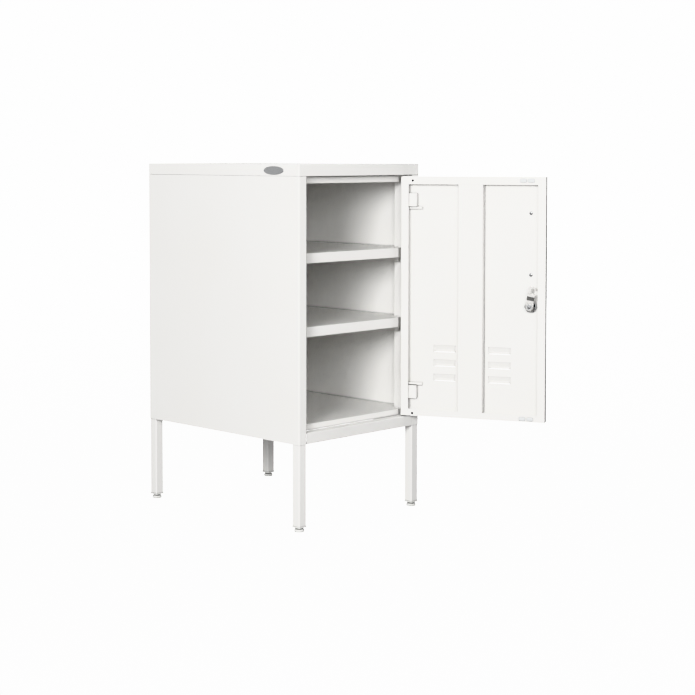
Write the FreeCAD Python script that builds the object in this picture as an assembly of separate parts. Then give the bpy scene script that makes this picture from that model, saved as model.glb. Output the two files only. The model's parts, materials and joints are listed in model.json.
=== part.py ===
import FreeCAD, Part
import math
import os

# One-door steel locker on four legs, door swung open.
# Millimetres. +X is the cabinet's width, +Y runs from the front to the back, +Z is up.
# The origin is on the floor, under the middle of the cabinet.

V = FreeCAD.Vector

# ---- driving dimensions ----
WIDTH = 350.0
DEPTH = 460.0
HEIGHT = 720.0
SHEET = 1.0                      # folded steel sheet
BEND = 2.0                       # outer bend radius
RIM = 1.0                        # tighter bend where the body's shells meet
BODY_BOTTOM = 172.0              # underside of the cabinet body
TOP_SKIRT = 24.0                 # height of the top's folded edge
STILE = 21.0                     # width of the front uprights
STILE_RETURN = 50.0              # depth of the uprights' folded-back wall
FLANGE = 20.0                    # side panels' top and bottom flanges
REAR_FLANGE = 15.0
RAIL_HEIGHT = 22.5
RECESS = 20.5                    # front lips of shelves, floor and lintel, behind the front plane
LIP_HALF = 134.0                 # half the width of those lips
TONGUE_HALF = 149.0              # half the width of a shelf between the uprights
SHELF_HALF = 172.0
SHELF_LIP = 20.0
SHELF_TOPS = {"upper_shelf": 544.5, "lower_shelf": 399.0}
FLOOR_TOP = 207.0
LINTEL_BOTTOM = 681.5
LINTEL_TOP = 694.0

BADGE_LENGTH = 56.0
BADGE_HEIGHT = 16.5
BADGE_BACK = 71.0                # from the front edge to the badge's middle

LEG = 20.0                       # square leg tube
LEG_WALL = 1.2
LEG_INSET = 0.8
LEG_END = 12.0                   # height of the tube's lower end
GLIDE_HEIGHT = 6.5
GLIDE_RADIUS = 10.4
STUD_RADIUS = 4.0

DOOR_WIDTH = 304.0
DOOR_BOTTOM = 196.5
DOOR_TOP = 693.5
DOOR_THICK = 18.0
DOOR_OPEN = 115.0                # degrees, at rest
HINGE_EDGE_FLANGE = 16.5
FREE_EDGE_FLANGE = 16.0
TOP_EDGE_FLANGE = 16.5
BOTTOM_EDGE_FLANGE = 14.0
PIVOT_EDGE = 9.0                 # hinge axis, from the door's hinge-side edge
PIVOT_DEPTH = 6.0                # hinge axis, behind the door's outer face

PIN_RADIUS = 2.75
FIT = 0.05                       # radial clearance of a running fit
PIN_LEVEL = 628.0                # height of the upper pin's tail
PIN_REACH = 34.0                 # length of the tail
BRACKET_LOW = 631.0
BRACKET_HIGH = 658.0
BRACKET_NEAR = 3.0               # bracket, from the hinge-side edge
BRACKET_FAR = 32.0
BRACKET_DEPTH = 11.0
COLLAR_HEIGHT = 1.9
COIL_RADIUS = 3.75               # of the pin springs
WIRE_RADIUS = 0.45
COIL_TURNS = 6.5
BUSH_RADIUS = 4.5

HANDLE_ALONG = 270.0             # handle and lock, from the hinge-side edge
HANDLE_LOW = 494.5
HANDLE_HIGH = 619.5
HANDLE_STAND = 28.0              # height of the handle over the skin
HANDLE_BAR = 11.0                # width of its bar
LOCK_ALONG = 271.0
LOCK_HEIGHT = 430.5
LOCK_RADIUS = 8.95               # threaded barrel
LOCK_NUT = 22.3                  # across flats
PLUG_RADIUS = 6.0
CAM_REACH = 43.0
CAM_WIDTH = 15.5
CAM_THICK = 2.0
CAM_TILT = 10.0                  # degrees from upright, at rest
KEEPER_SLOT = 48.0               # height of the slot that the cam turns into

LOUVRE_WIDTH = 49.0
LOUVRE_REACH = 58.0              # from the stiffener's middle to a louvre's middle
LOUVRE_HEIGHT = 15.0
LOUVRE_DEPTH = 4.5
LOUVRE_BOTTOMS = (270.0, 300.0, 330.0)
STIFFENER_CENTRE = 148.0
STIFFENER_WIDTH = 52.0
STIFFENER_FOOT = 12.0
BUFFER_PLACES = (257.5, 273.5)   # from the hinge-side edge
BUFFER_LEVELS = (202.5, 685.5)
BUFFER_SIZE = (13.4, 1.8, 7.6)
DRAIN_PLACE = 25.5
DRAIN_LEVELS = (201.8, 684.7)
DRAIN_RADIUS = 2.4

# ---- holes for fasteners, as radii ----
SCREW_HOLE = 2.1
RIVET_HOLE = 2.05
BOLT_HOLE = 4.2

# ---- derived planes ----
LEFT = -WIDTH / 2
RIGHT = WIDTH / 2
FRONT = -DEPTH / 2
BACK = DEPTH / 2
SKIRT_BOTTOM = HEIGHT - TOP_SKIRT
RAIL_TOP = BODY_BOTTOM + RAIL_HEIGHT
POST = RIGHT - STILE             # half the door opening
LIP_PLANE = FRONT + RECESS
POST_END = FRONT + STILE_RETURN
TONGUE_END = POST_END + 2.0
HINGE_EDGE = DOOR_WIDTH / 2
PIVOT_X = HINGE_EDGE - PIVOT_EDGE
PIVOT_Y = FRONT + PIVOT_DEPTH
DOOR_MIDDLE = (DOOR_BOTTOM + DOOR_TOP) / 2
SKIN = FRONT + SHEET             # inner face of the closed door's skin
BACK_INNER = BACK - 2 * SHEET    # inner face of the back panel
CAM_SEAT = SKIN + 16.5           # where the cam sits on the closed lock's plug


# ---- helpers ----
def box(x0, x1, y0, y1, z0, z1):
    return Part.makeBox(x1 - x0, y1 - y0, z1 - z0, V(x0, y0, z0))


def rod(radius, start, end):
    start, end = V(*start), V(*end)
    return Part.makeCylinder(radius, (end - start).Length, start, end - start)


def fuse(*shapes):
    whole = shapes[0]
    for shape in shapes[1:]:
        whole = whole.fuse(shape)
    return whole.removeSplitter()


def cut(shape, *tools):
    for tool in tools:
        shape = shape.cut(tool)
    return shape


def group(shapes):
    return Part.makeCompound(list(shapes))


def mirror_x(shape):
    return shape.mirror(V(0, 0, 0), V(1, 0, 0))


def both_sides(shape):
    return [shape, mirror_x(shape)]


def mirror_door(shape):
    """The lower hinge parts are the upper ones turned over about the door's mid-height."""
    return shape.mirror(V(0, 0, DOOR_MIDDLE), V(0, 0, 1))


def round_edges(shape, radius, wanted):
    """Fillets the straight edges that wanted(middle, direction) picks."""
    edges = []
    for edge in shape.Edges:
        if isinstance(edge.Curve, Part.Line):
            first, last = edge.Vertexes[0].Point, edge.Vertexes[-1].Point
            if wanted((first + last) * 0.5, (last - first).normalize()):
                edges.append(edge)
    return shape.makeFillet(radius, edges)


def round_rim(shape, radius, level, outside):
    """Fillets the outline at one height, straight edges and corner arcs, where outside(middle) holds."""
    edges = [e for e in shape.Edges
             if abs(e.BoundBox.ZMin - level) < 0.01 and abs(e.BoundBox.ZMax - level) < 0.01
             and outside(e.CenterOfMass)]
    return shape.makeFillet(radius, edges)


def along_z(direction):
    return abs(direction.z) > 0.99


def prism_y(points, y0, y1):
    """Extrudes an outline of (x, z) points along Y."""
    outline = Part.makePolygon([V(x, y0, z) for x, z in points + points[:1]])
    return Part.Face(outline).extrude(V(0, y1 - y0, 0))


def hexagon(across_flats, x, z, y0, y1):
    radius = across_flats / math.sqrt(3)
    corners = [math.radians(60 * k) for k in range(6)]
    return prism_y([(x + radius * math.cos(a), z + radius * math.sin(a)) for a in corners], y0, y1)


def screw_z(x, y, seat, head_radius, head_height, shank_radius, shank, up):
    """A screw whose head lies under (up) or over its seat, with its shank through it."""
    way = 1 if up else -1
    head = rod(head_radius, (x, y, seat - way * head_height), (x, y, seat))
    head = round_edges_circle(head, 0.6, seat - way * head_height)
    return fuse(head, rod(shank_radius, (x, y, seat), (x, y, seat + way * shank)))


def round_edges_circle(shape, radius, level):
    """Fillets the round edges that lie at one height."""
    edges = [e for e in shape.Edges
             if isinstance(e.Curve, Part.Circle) and abs(e.CenterOfMass.z - level) < 1e-6]
    return shape.makeFillet(radius, edges)


def swing(shape):
    """Takes a piece of the closed door to its place with the door open."""
    opened = shape.copy()
    opened.rotate(V(PIVOT_X, PIVOT_Y, 0), V(0, 0, 1), DOOR_OPEN)
    return opened


def along(distance):
    """X of a point on the closed door, from its distance to the hinge-side edge."""
    return HINGE_EDGE - distance


# ---- cabinet body ----
def top_panel():
    outer = box(LEFT, RIGHT, FRONT, BACK, SKIRT_BOTTOM, HEIGHT)
    outer = round_edges(outer, BEND, lambda m, d: along_z(d) or m.z > HEIGHT - 0.1)
    outer = round_rim(outer, RIM, SKIRT_BOTTOM, lambda m: True)
    inner = box(LEFT + SHEET, RIGHT - SHEET, FRONT + SHEET, BACK - SHEET,
                SKIRT_BOTTOM + SHEET, HEIGHT - SHEET)
    inner = round_edges(inner, BEND - SHEET, lambda m, d: along_z(d) or m.z > HEIGHT - 1.1)
    opening = box(LEFT + FLANGE, RIGHT - FLANGE, FRONT + FLANGE - 5, BACK - FLANGE,
                  SKIRT_BOTTOM, SKIRT_BOTTOM + SHEET)
    pivot = rod(BUSH_RADIUS, (PIVOT_X, PIVOT_Y, SKIRT_BOTTOM),
                (PIVOT_X, PIVOT_Y, SKIRT_BOTTOM + SHEET))
    holes = [rod(SCREW_HOLE, (x, y, SKIRT_BOTTOM), (x, y, SKIRT_BOTTOM + SHEET))
             for x, y in top_screw_places()]
    return cut(outer, inner, opening, pivot, *holes)


def top_screw_places():
    return [(x, y) for x in (-165.0, 165.0) for y in (-130.0, 150.0)]


def clip_levels():
    """Underside of each shelf's top plate."""
    return [top - SHEET for top in SHELF_TOPS.values()]


def side_panel():
    """The left side: wall, front upright folded back, rear flange, top and bottom flanges."""
    outer = box(LEFT, -POST, FRONT, BACK, BODY_BOTTOM, SKIRT_BOTTOM)
    outer = round_edges(outer, BEND, lambda m, d: along_z(d) and not (m.x > LEFT + 1 and m.y > 0))
    for level in (BODY_BOTTOM, SKIRT_BOTTOM):
        outer = round_rim(outer, RIM, level, lambda m: m.x < -POST - RIM)
    inner = box(LEFT + SHEET, -POST - SHEET, FRONT + SHEET, BACK - SHEET,
                BODY_BOTTOM + SHEET, SKIRT_BOTTOM - SHEET)
    inner = round_edges(inner, BEND - SHEET, lambda m, d: along_z(d))
    inside = box(-POST - SHEET, -POST, POST_END, BACK, BODY_BOTTOM, SKIRT_BOTTOM)
    rear = box(LEFT + REAR_FLANGE, -POST, BACK - 3 * SHEET, BACK, BODY_BOTTOM, SKIRT_BOTTOM)
    clips = [box(-POST - SHEET, -POST, FRONT + 33, FRONT + 48, z - 31, z - 21)
             for z in clip_levels()]
    leg_x, leg_y = leg_centre()
    bolts = [rod(BOLT_HOLE, (-leg_x, y, BODY_BOTTOM), (-leg_x, y, BODY_BOTTOM + SHEET))
             for y in (-leg_y, leg_y)]
    screws = [rod(SCREW_HOLE, (x, y, SKIRT_BOTTOM - SHEET), (x, y, SKIRT_BOTTOM))
              for x, y in top_screw_places() if x < 0]
    rivets = [rod(RIVET_HOLE, (-x, BACK - SHEET, z), (-x, BACK, z))
              for x, z in rivet_places() if x > 0]
    return cut(outer, inner, inside, rear, *clips, *bolts, *screws, *rivets)


def left_side_panel():
    low = LOCK_HEIGHT - CAM_WIDTH / 2 - 2
    keeper = box(-POST - SHEET, -POST, FRONT + 19, FRONT + 24.5, low, low + KEEPER_SLOT)
    return cut(side_panel(), keeper)


def right_side_panel():
    return mirror_x(side_panel())


def rivet_places():
    return [(x, z) for x in (-167.0, 167.0) for z in (240.0, 350.0, 470.0, 640.0)]


def back_panel():
    edge = RIGHT - 2 * SHEET
    low, high = BODY_BOTTOM + SHEET, SKIRT_BOTTOM - SHEET
    sheet = box(-edge, edge, BACK_INNER, BACK - SHEET, low, high)
    hems = [box(-130, 130, BACK_INNER - 15, BACK_INNER, z, z + SHEET) for z in (low, high - SHEET)]
    rivets = [rod(RIVET_HOLE, (x, BACK_INNER, z), (x, BACK - SHEET, z)) for x, z in rivet_places()]
    slots = [box(x - 4.5, x + 4.5, BACK_INNER, BACK - SHEET, z - 27, z - 22)
             for x in (-125, 125) for z in clip_levels()]
    return cut(fuse(sheet, *hems), *rivets, *slots)


def tray(top, lip, half, rear):
    """A folded shelf: narrow front lip, tongue between the uprights, full width behind them."""
    plate = box(-half, half, TONGUE_END, rear, top - SHEET, top)
    tongue = box(-TONGUE_HALF, TONGUE_HALF, LIP_PLANE + 3.5, TONGUE_END, top - SHEET, top)
    front = box(-LIP_HALF, LIP_HALF, LIP_PLANE, LIP_PLANE + 3.5, top - lip, top)
    behind = box(-LIP_HALF, LIP_HALF, LIP_PLANE + SHEET, LIP_PLANE + 3.5, top - lip, top - SHEET)
    hem = box(-LIP_HALF, LIP_HALF, LIP_PLANE + SHEET, LIP_PLANE + 12, top - lip, top - lip + SHEET)
    sides = both_sides(box(half - SHEET, half, TONGUE_END, rear, top - lip, top - SHEET))
    shoulders = both_sides(box(TONGUE_HALF + 2, half - SHEET, TONGUE_END, TONGUE_END + SHEET,
                               top - lip, top - SHEET))
    back = box(SHEET - half, half - SHEET, rear - SHEET, rear, top - lip, top - SHEET)
    pan = fuse(cut(front, behind), plate, tongue, hem, back, *sides, *shoulders)
    return round_edges(pan, 0.9, lambda m, d: abs(m.y - LIP_PLANE) < 0.01
                       and abs(d.x) > 0.99 and (m.z > top - 0.1 or m.z < top - lip + 0.1))


def shelf(name):
    return tray(SHELF_TOPS[name], SHELF_LIP, SHELF_HALF, BACK_INNER - 2)


def bottom_panel():
    return tray(FLOOR_TOP, FLOOR_TOP - RAIL_TOP, RIGHT - SHEET, BACK_INNER)


def bottom_front_rail():
    outer = box(-POST, POST, FRONT, LIP_PLANE, BODY_BOTTOM, RAIL_TOP)
    outer = round_edges(outer, 1.5, lambda m, d: m.y < FRONT + 0.1 and abs(d.x) > 0.99)
    hollow = box(-POST, POST, FRONT + SHEET, LIP_PLANE, BODY_BOTTOM + SHEET, RAIL_TOP - SHEET)
    pivot = rod(BUSH_RADIUS, (PIVOT_X, PIVOT_Y, RAIL_TOP - SHEET), (PIVOT_X, PIVOT_Y, RAIL_TOP))
    return cut(outer, hollow, pivot)


def top_front_rail():
    """The lintel: a channel behind the door's top edge, its ends turned out to the uprights."""
    face = box(-LIP_HALF, LIP_HALF, LIP_PLANE, LIP_PLANE + 22, LINTEL_BOTTOM, LINTEL_TOP)
    face = round_edges(face, 0.9, lambda m, d: m.y < LIP_PLANE + 0.1 and abs(d.x) > 0.99)
    hollow = box(-LIP_HALF, LIP_HALF, LIP_PLANE + SHEET, LIP_PLANE + 22,
                 LINTEL_BOTTOM + SHEET, LINTEL_TOP - SHEET)
    ends = both_sides(box(LIP_HALF - 4, POST, LIP_PLANE + 22, LIP_PLANE + 22 + SHEET,
                          LINTEL_BOTTOM + 1.5, LINTEL_TOP - 1.5))
    webs = both_sides(box(LIP_HALF - 6, LIP_HALF - 4, LIP_PLANE + 10, LIP_PLANE + 22 + SHEET,
                          LINTEL_BOTTOM + SHEET, LINTEL_TOP - SHEET))
    return fuse(cut(face, hollow), *ends, *webs)


def shelf_clips():
    """Pressed clips: four at the uprights under the tongues, four at the back under the hems."""
    clips = []
    for level in clip_levels():
        leg = box(POST - SHEET, POST, FRONT + 39, FRONT + 47, level - 29, level)
        ledge = box(POST - 12, POST - SHEET, FRONT + 39, FRONT + 47, level - SHEET, level)
        tab = box(POST, POST + 3, FRONT + 40.5, FRONT + 46, level - 28, level - 24)
        clips += both_sides(fuse(leg, ledge, tab))
        low = level + SHEET - SHELF_LIP
        leg = box(121, 129, BACK_INNER - SHEET, BACK_INNER, low - 11, low)
        ledge = box(121, 129, BACK_INNER - 8, BACK_INNER - SHEET, low - SHEET, low)
        tab = box(122, 128, BACK_INNER, BACK_INNER + 1.5, level - 26.5, level - 22.5)
        clips += both_sides(fuse(leg, ledge, tab))
    return group(clips)


def top_fixing_screws():
    seat = SKIRT_BOTTOM - SHEET
    return group(screw_z(x, y, seat, 3.8, 2.2, 2.0, 6.5, True) for x, y in top_screw_places())


def top_fixing_nuts():
    nuts = []
    for x, y in top_screw_places():
        nut = hexagon(7.0, 0, 0, 0, 3.0)
        nut.rotate(V(0, 0, 0), V(1, 0, 0), 90)
        nut.translate(V(x, y, SKIRT_BOTTOM + SHEET))
        nuts.append(cut(nut, rod(2.0, (x, y, SKIRT_BOTTOM), (x, y, SKIRT_BOTTOM + 5))))
    return group(nuts)


def back_rivets():
    rivets = []
    for x, z in rivet_places():
        head = Part.makeSphere(5.0, V(x, BACK - 3.6, z))
        head = head.common(box(x - 6, x + 6, BACK, BACK + 6, z - 6, z + 6))
        shank = rod(2.0, (x, BACK_INNER - 1.5, z), (x, BACK, z))
        bulb = rod(2.9, (x, BACK_INNER - 2.5, z), (x, BACK_INNER, z))
        rivets.append(fuse(head, shank, bulb))
    return group(rivets)


def oval_badge():
    """A plain domed oval plate on the left side of the top's skirt."""
    outline = Part.Wire(Part.Ellipse(V(0, 0, 0), BADGE_LENGTH / 2, BADGE_HEIGHT / 2).toShape())
    plate = Part.Face(outline).extrude(V(0, 0, 1.2))
    plate = plate.makeFillet(0.5, [e for e in plate.Edges if e.CenterOfMass.z > 1.19])
    plate.rotate(V(0, 0, 0), V(1, 0, 0), 90)
    plate.rotate(V(0, 0, 0), V(0, 0, 1), -90)
    plate.translate(V(LEFT, FRONT + BADGE_BACK, SKIRT_BOTTOM + TOP_SKIRT / 2 - 1))
    return plate


def pivot_bush(z_collar, way):
    """A flanged nylon bush: its collar faces the door, its barrel goes away from it."""
    collar = rod(BUSH_RADIUS + 0.9, (PIVOT_X, PIVOT_Y, z_collar - way), (PIVOT_X, PIVOT_Y, z_collar))
    barrel = rod(BUSH_RADIUS, (PIVOT_X, PIVOT_Y, z_collar), (PIVOT_X, PIVOT_Y, z_collar + way * 6))
    bore = rod(PIN_RADIUS + FIT, (PIVOT_X, PIVOT_Y, z_collar - way * 2),
               (PIVOT_X, PIVOT_Y, z_collar + way * 7))
    return cut(fuse(collar, barrel), bore)


# ---- legs ----
def leg_centre():
    """Distance of a leg's axis from the cabinet's middle, in X and in Y."""
    return RIGHT - LEG_INSET - LEG / 2, BACK - LEG_INSET - LEG / 2


def square_bar(x, y, side, z0, z1, corner):
    bar = box(x - side / 2, x + side / 2, y - side / 2, y + side / 2, z0, z1)
    return round_edges(bar, corner, lambda m, d: along_z(d))


def leg(x, y):
    outer = square_bar(x, y, LEG, LEG_END, BODY_BOTTOM, 2.0)
    return cut(outer, square_bar(x, y, LEG - 2 * LEG_WALL, LEG_END, BODY_BOTTOM, 0.8))


def leg_top_insert(x, y):
    block = square_bar(x, y, LEG - 2 * LEG_WALL, BODY_BOTTOM - 16, BODY_BOTTOM, 0.8)
    return cut(block, rod(4.0, (x, y, BODY_BOTTOM - 16), (x, y, BODY_BOTTOM)))


def leg_corner_plate(x, y):
    low = BODY_BOTTOM + SHEET
    middle = math.copysign((POST + RIGHT) / 2, x)
    near, far = sorted(math.copysign(distance, y) for distance in (abs(y) - 28, abs(y) + 8.6))
    plate = box(middle - 8.7, middle + 8.7, near, far, low, low + 2)
    return cut(plate, rod(BOLT_HOLE, (x, y, low), (x, y, low + 2)))


def leg_bolt(x, y):
    return screw_z(x, y, BODY_BOTTOM + SHEET + 2, 6.5, 5.0, 3.95, 16, False)


def leg_bottom_plug(x, y):
    cap = square_bar(x, y, LEG + 1.6, LEG_END - 3, LEG_END, 2.4)
    body = square_bar(x, y, LEG - 2 * LEG_WALL, LEG_END, LEG_END + 18, 0.8)
    return cut(fuse(cap, body), rod(STUD_RADIUS + 0.08, (x, y, 0), (x, y, LEG_END + 18)))


def foot(x, y):
    glide = rod(GLIDE_RADIUS, (x, y, 0), (x, y, GLIDE_HEIGHT))
    glide = round_edges_circle(glide, 1.2, 0)
    glide = round_edges_circle(glide, 1.6, GLIDE_HEIGHT)
    return fuse(glide, rod(STUD_RADIUS, (x, y, GLIDE_HEIGHT), (x, y, LEG_END + 15)))


def corners():
    x, y = leg_centre()
    return {"front_left": (-x, -y), "front_right": (x, -y), "back_left": (-x, y), "back_right": (x, y)}


# ---- door, drawn closed ----
def louvre(x, low, wall):
    """A hood pressed out of the skin, shallow at its top and open below; wall shrinks it."""
    half = LOUVRE_WIDTH / 2 - wall
    height = LOUVRE_HEIGHT - wall
    out = LOUVRE_DEPTH - wall
    hood = Part.makeWedge(-half, 0, 0, 0, -half + 5, half, out, height, height - 9.5, half - 5)
    hood = hood.makeFillet(1.6 - wall, [e for e in hood.Edges if e.CenterOfMass.y > 0.1
                                        and e.CenterOfMass.z > 0.1])
    hood = hood.mirror(V(0, 0, 0), V(0, 1, 0))
    hood.translate(V(x, FRONT, low))
    return hood


def louvre_places():
    return [(along(STIFFENER_CENTRE + side * LOUVRE_REACH), low)
            for side in (-1, 1) for low in LOUVRE_BOTTOMS]


def door_skin():
    outer = box(-HINGE_EDGE, HINGE_EDGE, FRONT, FRONT + DOOR_THICK, DOOR_BOTTOM, DOOR_TOP)
    outer = round_edges(outer, BEND, lambda m, d: m.y < FRONT + 0.1 or along_z(d))
    inner = box(SHEET - HINGE_EDGE, HINGE_EDGE - SHEET, FRONT + SHEET,
                FRONT + DOOR_THICK - SHEET, DOOR_BOTTOM + SHEET, DOOR_TOP - SHEET)
    inner = round_edges(inner, BEND - SHEET, lambda m, d: m.y < FRONT + 1.1 or along_z(d))
    window = box(along(DOOR_WIDTH - FREE_EDGE_FLANGE), along(HINGE_EDGE_FLANGE),
                 FRONT + DOOR_THICK - SHEET, FRONT + DOOR_THICK,
                 DOOR_BOTTOM + BOTTOM_EDGE_FLANGE, DOOR_TOP - TOP_EDGE_FLANGE)
    rear = (FRONT + DOOR_THICK - SHEET, FRONT + DOOR_THICK)
    drains = [rod(DRAIN_RADIUS, (along(DRAIN_PLACE), rear[0], z), (along(DRAIN_PLACE), rear[1], z))
              for z in DRAIN_LEVELS]
    pins = [rod(PIN_RADIUS + FIT, (PIVOT_X, PIVOT_Y, z), (PIVOT_X, PIVOT_Y, z + SHEET))
            for z in (DOOR_BOTTOM, DOOR_TOP - SHEET)]
    lock = rod(LOCK_RADIUS + FIT, (along(LOCK_ALONG), FRONT, LOCK_HEIGHT),
               (along(LOCK_ALONG), SKIN, LOCK_HEIGHT))
    screws = [rod(SCREW_HOLE, (along(HANDLE_ALONG), FRONT, z), (along(HANDLE_ALONG), SKIN, z))
              for z in (HANDLE_LOW, HANDLE_HIGH)]
    pan = cut(outer, inner, window, lock, *drains, *pins, *screws)
    for x, low in louvre_places():
        hollow = louvre(x, low, 0.9)
        mouth = box(x - LOUVRE_WIDTH / 2 + 0.9, x + LOUVRE_WIDTH / 2 - 0.9, FRONT, SKIN,
                    low, low + LOUVRE_HEIGHT - 0.9)
        pan = cut(pan.fuse(louvre(x, low, 0)), hollow, mouth)
    return pan


def door_stiffener():
    """A channel down the middle, flush with the door's flanges, its feet turned in on the skin."""
    centre, half = along(STIFFENER_CENTRE), STIFFENER_WIDTH / 2
    low, high = DOOR_BOTTOM + BOTTOM_EDGE_FLANGE, DOOR_TOP - TOP_EDGE_FLANGE
    rear = FRONT + DOOR_THICK
    channel = box(centre - half, centre + half, SKIN, rear, low, high)
    channel = round_edges(channel, 1.8, lambda m, d: m.y > rear - 0.1 and along_z(d))
    hollow = box(centre - half + SHEET, centre + half - SHEET, SKIN + SHEET, rear - SHEET, low, high)
    hollow = round_edges(hollow, 0.8, lambda m, d: m.y > rear - SHEET - 0.1 and along_z(d))
    between_feet = box(centre - half + STIFFENER_FOOT, centre + half - STIFFENER_FOOT,
                       SKIN, SKIN + SHEET, low, high)
    return cut(channel, hollow, between_feet)


def upper_hinge_bracket():
    """A U of strip on the skin: its two ears guide the hinge pin."""
    far, near, rear, strip = along(BRACKET_FAR), along(BRACKET_NEAR), SKIN + BRACKET_DEPTH, 1.2
    ears = [box(far, near, SKIN, rear, z, z + strip) for z in (BRACKET_LOW, BRACKET_HIGH - strip)]
    plate = box(far, near, rear - strip, rear, BRACKET_LOW, BRACKET_HIGH)
    lug = box(far, far + 12, SKIN, SKIN + strip, BRACKET_LOW, BRACKET_HIGH)
    edge = box(far, far + strip, SKIN, rear, BRACKET_LOW, BRACKET_HIGH)
    bore = rod(PIN_RADIUS + FIT, (PIVOT_X, PIVOT_Y, BRACKET_LOW), (PIVOT_X, PIVOT_Y, BRACKET_HIGH))
    return cut(fuse(plate, lug, edge, *ears), bore)


def collar_low():
    """The pin's collar stops just under the bracket's upper ear."""
    return BRACKET_HIGH - 1.6 - COLLAR_HEIGHT


def upper_hinge_pin():
    """An L of round bar with a collar for its spring; the tail is what a finger pulls."""
    top = SKIRT_BOTTOM + 6
    shaft = rod(PIN_RADIUS, (PIVOT_X, PIVOT_Y, PIN_LEVEL), (PIVOT_X, PIVOT_Y, top))
    shaft = round_edges_circle(shaft, 0.8, top)
    elbow = Part.makeSphere(PIN_RADIUS, V(PIVOT_X, PIVOT_Y, PIN_LEVEL))
    tail = rod(PIN_RADIUS, (PIVOT_X, PIVOT_Y, PIN_LEVEL), (PIVOT_X - PIN_REACH, PIVOT_Y, PIN_LEVEL))
    collar = rod(4.6, (PIVOT_X, PIVOT_Y, collar_low()), (PIVOT_X, PIVOT_Y, collar_low() + COLLAR_HEIGHT))
    return fuse(shaft, elbow, tail, collar)


def upper_pin_spring():
    """A compression spring between the lower ear and the pin's collar."""
    low, high = BRACKET_LOW + 1.2 + 0.6, collar_low() - 0.6
    helix = Part.makeHelix((high - low) / COIL_TURNS, high - low, COIL_RADIUS)
    section = Part.Wire(Part.makeCircle(WIRE_RADIUS, V(COIL_RADIUS, 0, 0), V(0, 1, 0)))
    coil = Part.Wire(helix).makePipeShell([section], True, True)
    coil.translate(V(PIVOT_X, PIVOT_Y, low))
    return coil


def door_buffers():
    """Pairs of thin soft pads that meet the lintel and the floor's lip."""
    pads = []
    length, thick, height = BUFFER_SIZE
    for x in map(along, BUFFER_PLACES):
        for z in BUFFER_LEVELS:
            pad = box(x - length / 2, x + length / 2, FRONT + DOOR_THICK,
                      FRONT + DOOR_THICK + thick, z - height / 2, z + height / 2)
            pad = round_edges(pad, 1.4, lambda m, d: abs(d.y) > 0.99)
            pads.append(pad)
    return group(pads)


def handle():
    """A slim bow handle on the outer face."""
    x = along(HANDLE_ALONG)
    half, outer = HANDLE_BAR / 2, FRONT - HANDLE_STAND
    bar = box(x - half, x + half, outer, outer + 6, HANDLE_LOW - 9, HANDLE_HIGH + 9)
    bar = bar.makeFillet(2.4, bar.Edges)
    posts = []
    for z in (HANDLE_LOW, HANDLE_HIGH):
        foot_ring = rod(6.0, (x, FRONT - 2, z), (x, FRONT, z))
        posts.append(fuse(rod(4.5, (x, outer + 4, z), (x, FRONT, z)), foot_ring))
    holes = [rod(2.0, (x, FRONT - 12, z), (x, FRONT, z)) for z in (HANDLE_LOW, HANDLE_HIGH)]
    return cut(fuse(bar, *posts), *holes)


def handle_screws():
    x = along(HANDLE_ALONG)
    screws = []
    for z in (HANDLE_LOW, HANDLE_HIGH):
        head = rod(3.5, (x, SKIN, z), (x, SKIN + 2.2, z))
        head = head.makeFillet(0.8, [e for e in head.Edges if e.CenterOfMass.y > SKIN + 2.1
                                     and isinstance(e.Curve, Part.Circle)])
        slots = [box(x - 2.2, x + 2.2, SKIN + 1.2, SKIN + 3, z - 0.4, z + 0.4),
                 box(x - 0.4, x + 0.4, SKIN + 1.2, SKIN + 3, z - 2.2, z + 2.2)]
        screws.append(cut(fuse(head, rod(1.95, (x, FRONT - 9, z), (x, SKIN, z))), *slots))
    return group(screws)


def lock_barrel():
    x, z = along(LOCK_ALONG), LOCK_HEIGHT
    bezel = rod(11.5, (x, FRONT - 3, z), (x, FRONT, z))
    bezel = bezel.makeFillet(1.2, [e for e in bezel.Edges if e.CenterOfMass.y < FRONT - 2.9
                                   and isinstance(e.Curve, Part.Circle)])
    barrel = rod(LOCK_RADIUS, (x, FRONT, z), (x, FRONT + 16.5, z))
    bore = rod(PLUG_RADIUS + FIT, (x, FRONT - 4, z), (x, FRONT + 17, z))
    return cut(fuse(bezel, barrel), bore)


def lock_nut():
    x, z = along(LOCK_ALONG), LOCK_HEIGHT
    nut = hexagon(LOCK_NUT, x, z, SKIN, SKIN + 5.5)
    return cut(nut, rod(LOCK_RADIUS, (x, SKIN, z), (x, SKIN + 6, z)))


def turn_lock(shape):
    """Takes a piece drawn upright about the Y axis to the lock, turned as the lock is."""
    shape.rotate(V(0, 0, 0), V(0, 1, 0), -CAM_TILT)
    shape.translate(V(along(LOCK_ALONG), 0, LOCK_HEIGHT))
    return shape


def lock_plug():
    core = rod(PLUG_RADIUS, (0, FRONT - 3.4, 0), (0, CAM_SEAT, 0))
    square = box(-3.9, 3.9, CAM_SEAT, CAM_SEAT + CAM_THICK, -3.9, 3.9)
    keyway = box(-0.8, 0.8, FRONT - 4, FRONT + 6, -4, 4)
    thread = rod(1.6, (0, CAM_SEAT - 7, 0), (0, CAM_SEAT + CAM_THICK, 0))
    return turn_lock(cut(fuse(core, square), keyway, thread))


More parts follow.
